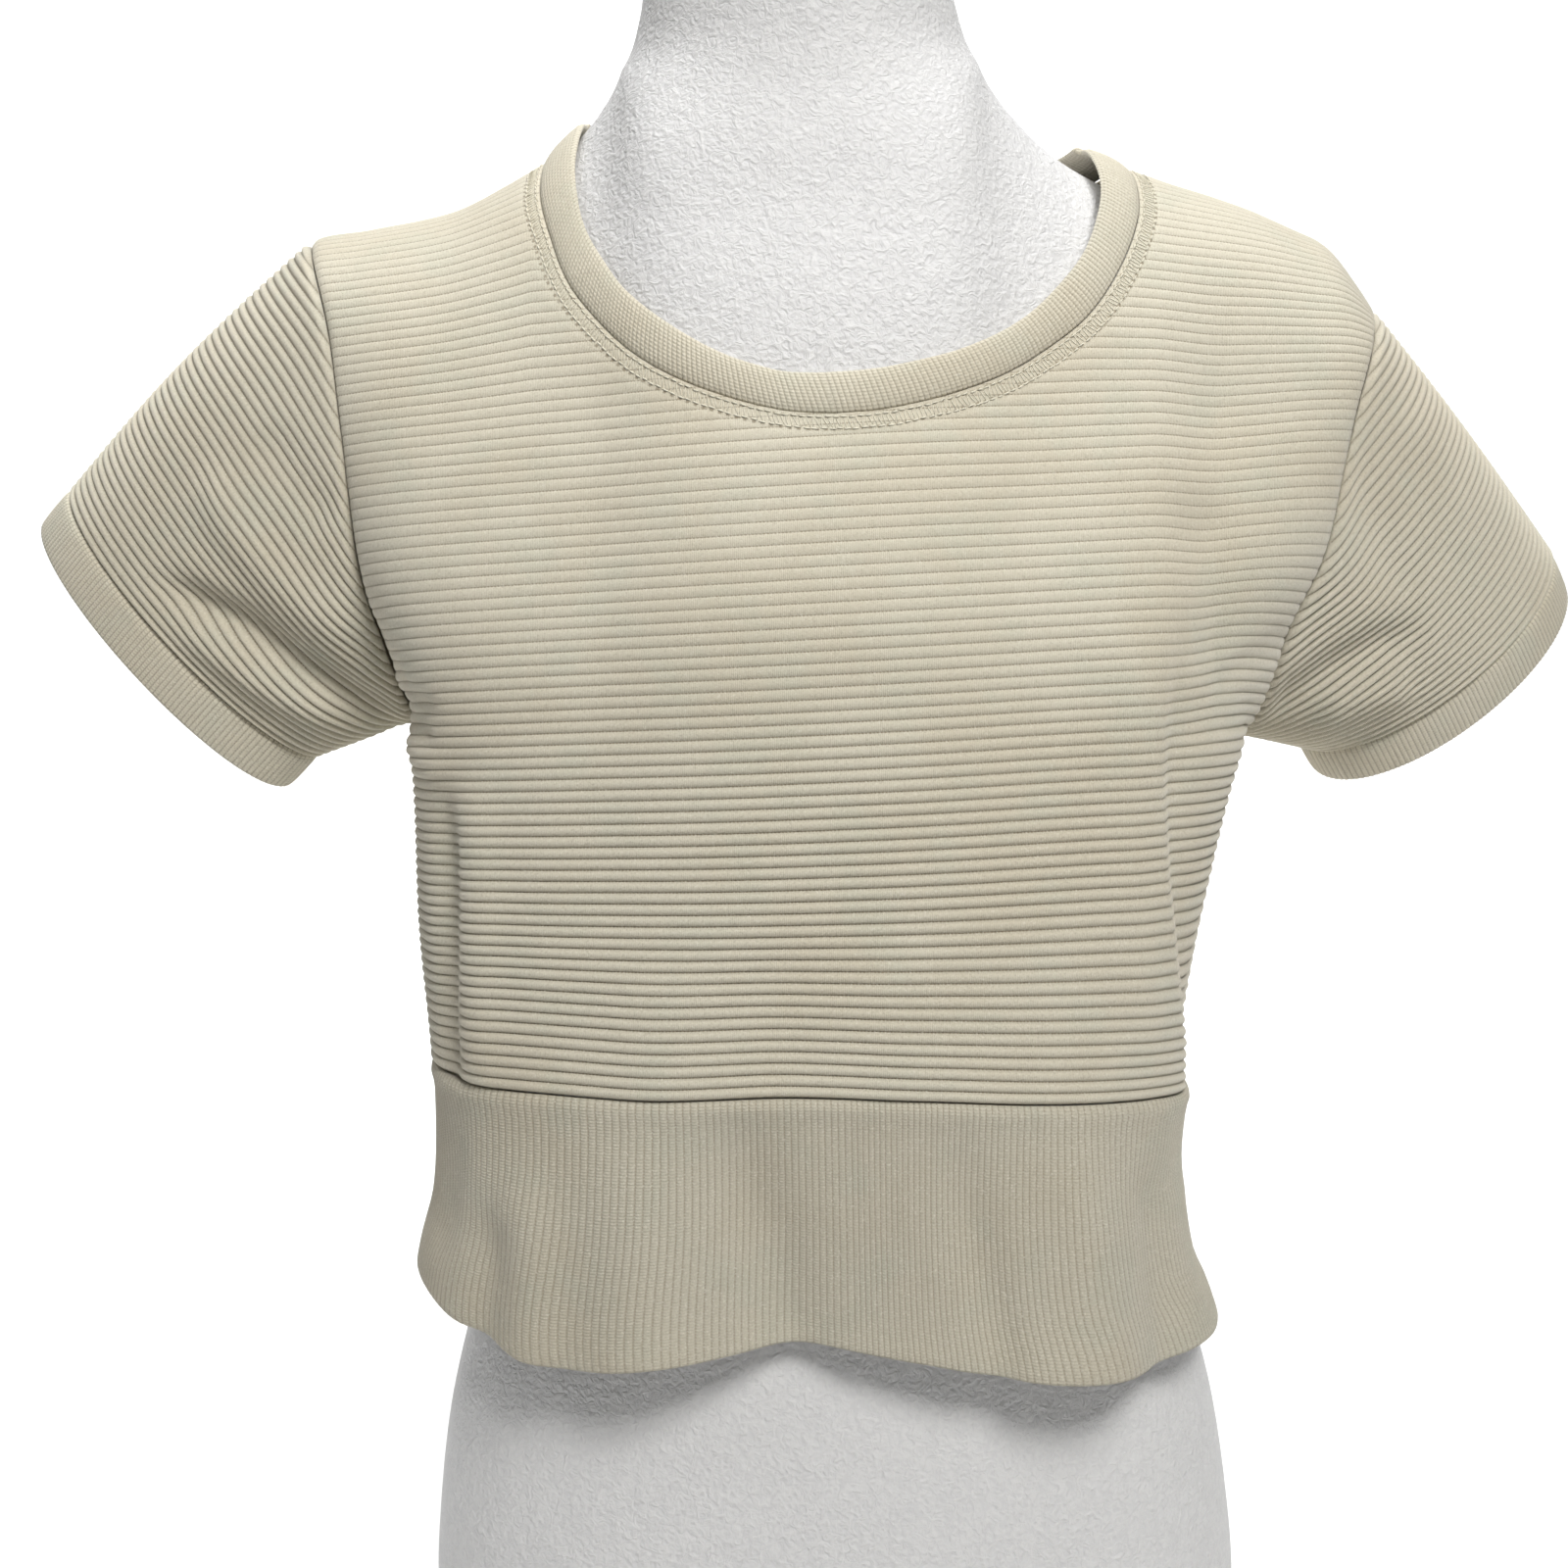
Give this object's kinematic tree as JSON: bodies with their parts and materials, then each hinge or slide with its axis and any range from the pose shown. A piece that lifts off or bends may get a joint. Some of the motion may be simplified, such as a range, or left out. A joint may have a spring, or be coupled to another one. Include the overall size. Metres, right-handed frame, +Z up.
{
  "type": "crop top on a dress form",
  "caption": "Short-sleeved crop top of cross-ribbed knit with a scoop neckband, cuffs and a deep waistband, worn by a limbless dress form.",
  "frame": {"origin": "centre of the dress form's flat base", "axes": "+Z up, -Y the front of the garment, +X to the right of its front view"},
  "size_m": [0.6124, 0.2245, 0.676],
  "materials": {
    "ribbed_cloth": "matte",
    "fine_rib": "matte",
    "form": "matte"
  },
  "bodies": {
    "root": {"front": "ribbed_cloth", "back": "ribbed_cloth", "sleeve_left": "ribbed_cloth", "sleeve_right": "ribbed_cloth", "cuff_left": "fine_rib", "cuff_right": "fine_rib", "neckband": "fine_rib", "waistband_front": "fine_rib", "waistband_back": "fine_rib", "dress_form": "form"}
  },
  "joints": []
}
